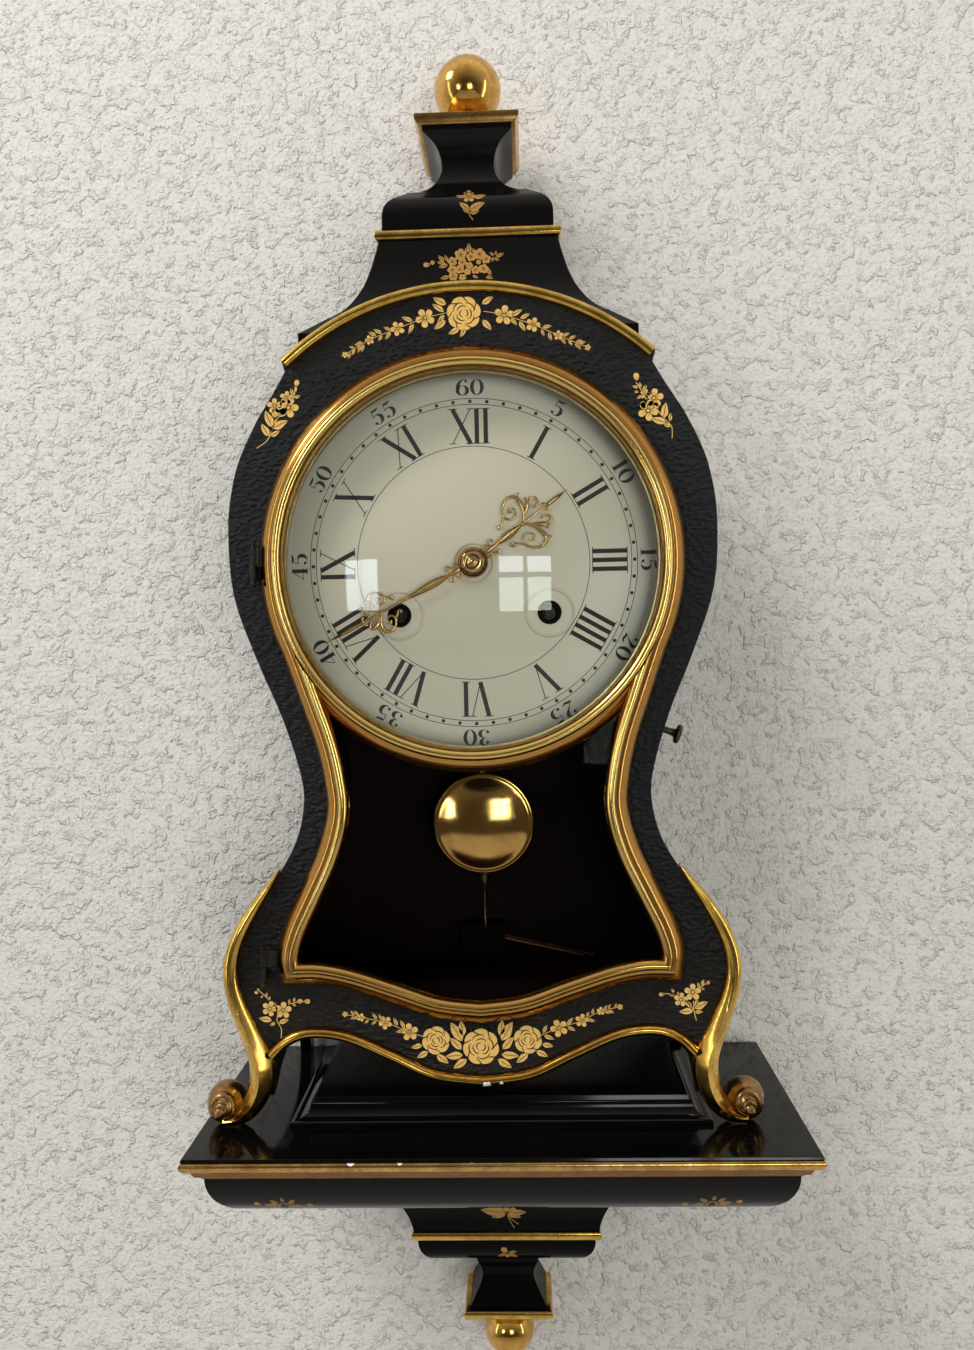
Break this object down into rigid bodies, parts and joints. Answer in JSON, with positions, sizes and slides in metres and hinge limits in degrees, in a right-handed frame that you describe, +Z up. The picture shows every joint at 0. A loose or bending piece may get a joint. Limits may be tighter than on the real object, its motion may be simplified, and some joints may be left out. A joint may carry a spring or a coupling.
{
  "type": "bracket clock",
  "caption": "Waisted black and gilt bracket clock on scroll feet with a glazed hinged door, turning hands, swinging pendulum and its own moulded wall bracket.",
  "frame": {"origin": "on the wall face of the bracket, midway between the two hanging screws", "axes": "+Z up, +X to the viewer's right, front towards -Y, wall at Y = 0"},
  "size_m": [0.287, 0.143, 0.7014],
  "materials": {
    "black_lacquer": "satin black lacquer",
    "black_grained": "black lacquer with a fine leather grain",
    "gilt": "gold leaf on carved wood, worn on the edges",
    "gilt_door": "brown gold outside, bright gold bead inside",
    "dark_interior": "dark red brown stain",
    "steel": "plain steel",
    "brass": "plain brass",
    "gilt_brass": "stamped and gilt",
    "polished_brass": "polished",
    "dial_enamel": "cream with black numerals",
    "glass": "clear",
    "iron": "dark",
    "bronze": "copper brown"
  },
  "bodies": {
    "bracket": {"shelf_board": "black_lacquer", "shelf_gilt_edge": "gilt", "shelf_plinth": "black_lacquer", "bracket_bowl": "black_lacquer", "bracket_corbel": "black_lacquer", "bracket_bead": "gilt", "bracket_cup": "black_lacquer", "bracket_pendant": "black_lacquer", "pendant_gilt_edge": "gilt", "bracket_ball": "gilt", "hanger_plates": "steel"},
    "case": {"front_plate": "black_grained", "side_panel_left": "black_lacquer", "side_panel_right": "black_lacquer", "back_board": "dark_interior", "floor_board": "dark_interior", "top_board": "black_lacquer", "crown_skirt": "black_lacquer", "crown_bead": "gilt", "crown_cap": "black_lacquer", "crown_abacus": "gilt", "crown_ball": "gilt", "arch_moulding": "gilt", "leg_moulding_left": "gilt", "leg_moulding_right": "gilt", "foot_scroll_left": "gilt", "foot_scroll_right": "gilt", "apron_moulding": "gilt", "hinge_pins": "brass", "dial_surround": "black_lacquer", "dial": "dial_enamel", "movement_plates": "brass", "movement_pillars": "brass", "barrels": "brass", "suspension_cock": "brass", "gong_block": "iron", "gong_rods": "bronze", "latch_bush": "brass", "motion_stud": "steel"},
    "door": {"door_frame": "gilt_door", "dial_glass": "glass", "glass_ring": "brass", "lower_glass": "glass", "door_knuckles": "brass"},
    "latch": {"latch_knob": "steel"},
    "minute": {"minute_hand": "gilt_brass", "hand_nut": "brass", "centre_arbor": "steel"},
    "hour": {"hour_hand": "gilt_brass", "hour_wheel": "brass"},
    "motion": {"minute_wheel": "brass"},
    "winder_left": {"winding_arbor_left": "steel"},
    "winder_right": {"winding_arbor_right": "steel"},
    "pendulum": {"pendulum_rod": "steel", "pendulum_bob": "polished_brass"},
    "rating": {"rating_nut": "brass"}
  },
  "joints": [
    {"name": "clock_lift", "type": "slide", "parent": "bracket", "child": "case", "axis": [0, 0, 1], "range_m": [0, 0.08]},
    {"name": "door_hinge", "type": "hinge", "parent": "case", "child": "door", "pos_m": [-0.1102, -0.112, 0.238], "axis": [0, 0, -1], "range_deg": [0, 110]},
    {"name": "latch_push", "type": "slide", "parent": "case", "child": "latch", "axis": [-0.9397, 0, 0.342], "range_m": [0, 0.004], "stiffness_N_per_m": 300},
    {"name": "minute_turn", "type": "hinge", "parent": "case", "child": "minute", "pos_m": [-0.008, -0.09, 0.305], "axis": [0, 1, 0], "continuous": true},
    {"name": "hour_turn", "type": "hinge", "parent": "case", "child": "hour", "pos_m": [-0.008, -0.09, 0.305], "axis": [0, 1, 0], "continuous": true},
    {"name": "motion_turn", "type": "hinge", "parent": "case", "child": "motion", "pos_m": [-0.008, -0.083, 0.2858], "axis": [0, 1, 0], "continuous": true},
    {"name": "wind_left_turn", "type": "hinge", "parent": "case", "child": "winder_left", "pos_m": [-0.0443, -0.08, 0.2804], "axis": [0, 1, 0], "continuous": true},
    {"name": "wind_right_turn", "type": "hinge", "parent": "case", "child": "winder_right", "pos_m": [0.0283, -0.08, 0.2804], "axis": [0, 1, 0], "continuous": true},
    {"name": "pendulum_swing", "type": "hinge", "parent": "case", "child": "pendulum", "pos_m": [-0.008, -0.034, 0.339], "axis": [0, 1, 0], "range_deg": [-8, 8]},
    {"name": "rating_turn", "type": "hinge", "parent": "pendulum", "child": "rating", "pos_m": [-0.008, -0.034, 0.142], "axis": [0, 0, 1], "continuous": true}
  ],
  "couplings": [
    {"joint": "hour_turn", "follows": "minute_turn", "ratio": 0.083333},
    {"joint": "motion_turn", "follows": "minute_turn", "ratio": -0.33333}
  ]
}
